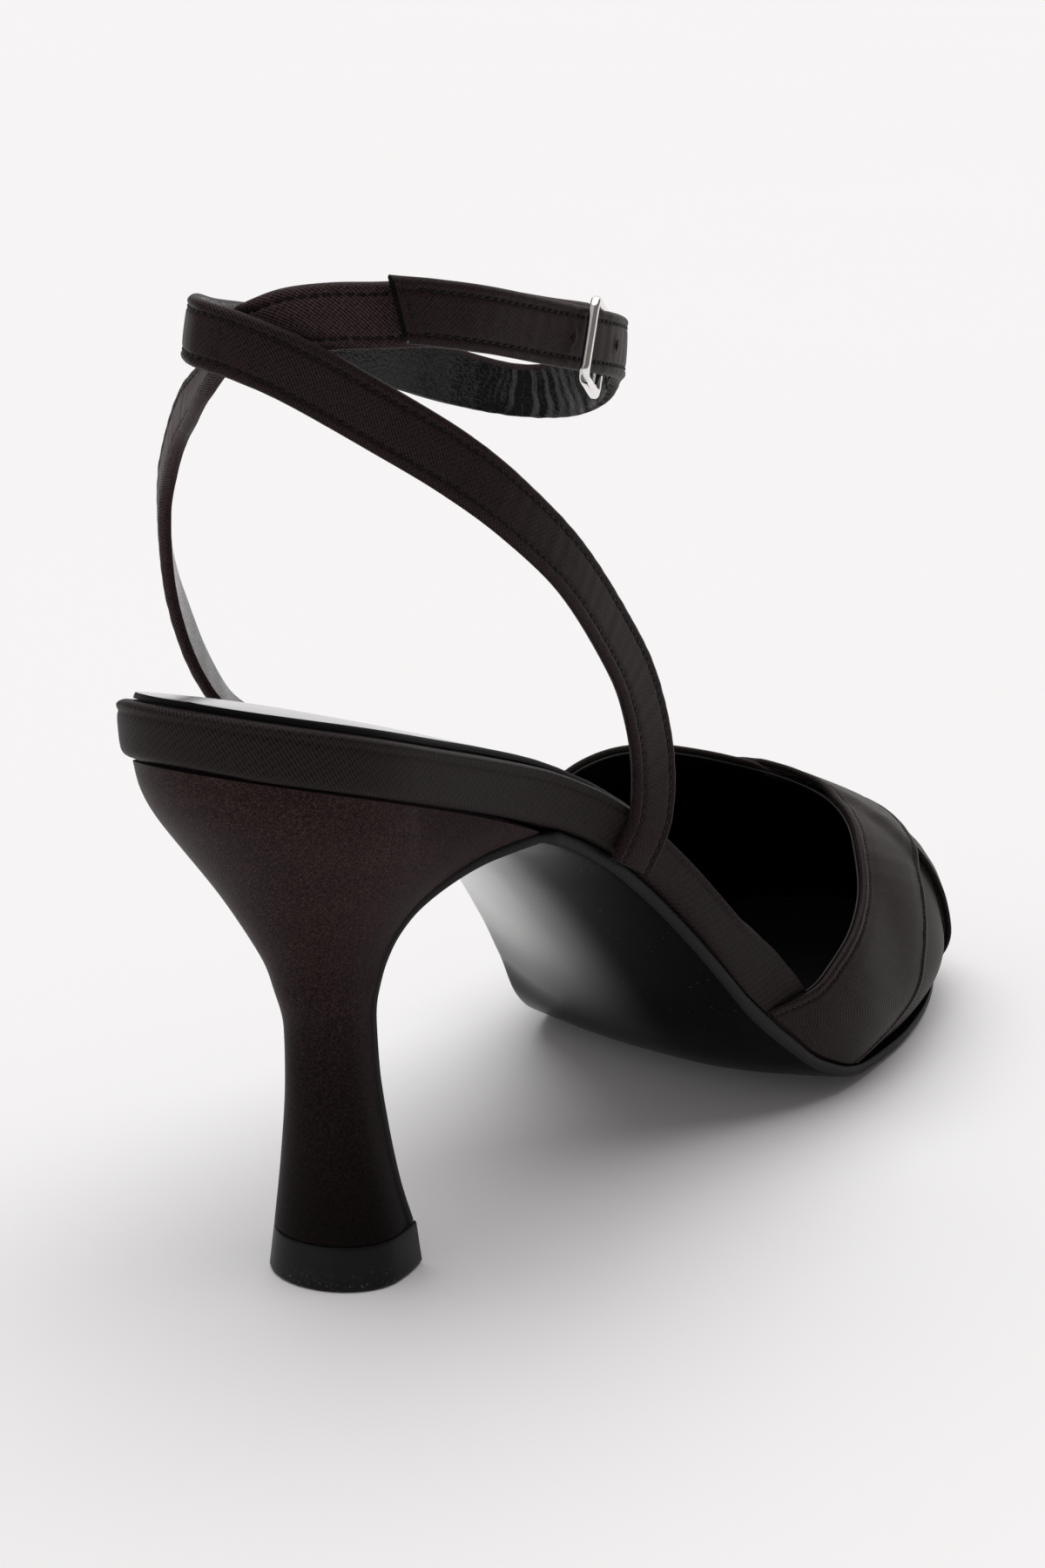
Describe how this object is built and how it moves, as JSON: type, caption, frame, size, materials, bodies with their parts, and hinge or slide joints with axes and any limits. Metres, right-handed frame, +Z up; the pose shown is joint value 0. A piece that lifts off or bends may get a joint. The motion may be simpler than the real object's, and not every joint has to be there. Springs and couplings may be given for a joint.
{
  "type": "ankle-strap pump",
  "caption": "Right high-heeled pump in black satin with crossed vamp bands, an open waist and back, a thin sole that runs down a flared heel, and a buckled ankle strap.",
  "frame": {"origin": "centre of the bottom of the shoe's box, on the floor it stands on", "axes": "+Y from the back of the seat to the toe, +X to the wearer's right (the outer side), +Z up"},
  "size_m": [0.081, 0.2308, 0.162],
  "materials": {
    "outsole_gloss": "gloss",
    "heel_satin": "satin weave",
    "top_piece_plastic": "satin",
    "rand_satin": "satin weave",
    "sock_lining": "smooth sheen",
    "upper_satin": "satin weave",
    "band_left_satin": "satin weave",
    "band_right_satin": "satin weave",
    "strap_right_satin": "satin weave",
    "strap_left_satin": "satin weave",
    "buckle_chrome": "polished"
  },
  "bodies": {
    "root": {"outsole": "outsole_gloss", "heel": "heel_satin", "top_piece": "top_piece_plastic", "footbed": "rand_satin", "insole_sock": "sock_lining", "upper": "upper_satin", "vamp_band_left": "band_left_satin", "vamp_band_right": "band_right_satin", "ankle_strap_right": "strap_right_satin", "ankle_strap_left": "strap_left_satin", "buckle_frame": "buckle_chrome"}
  },
  "joints": []
}
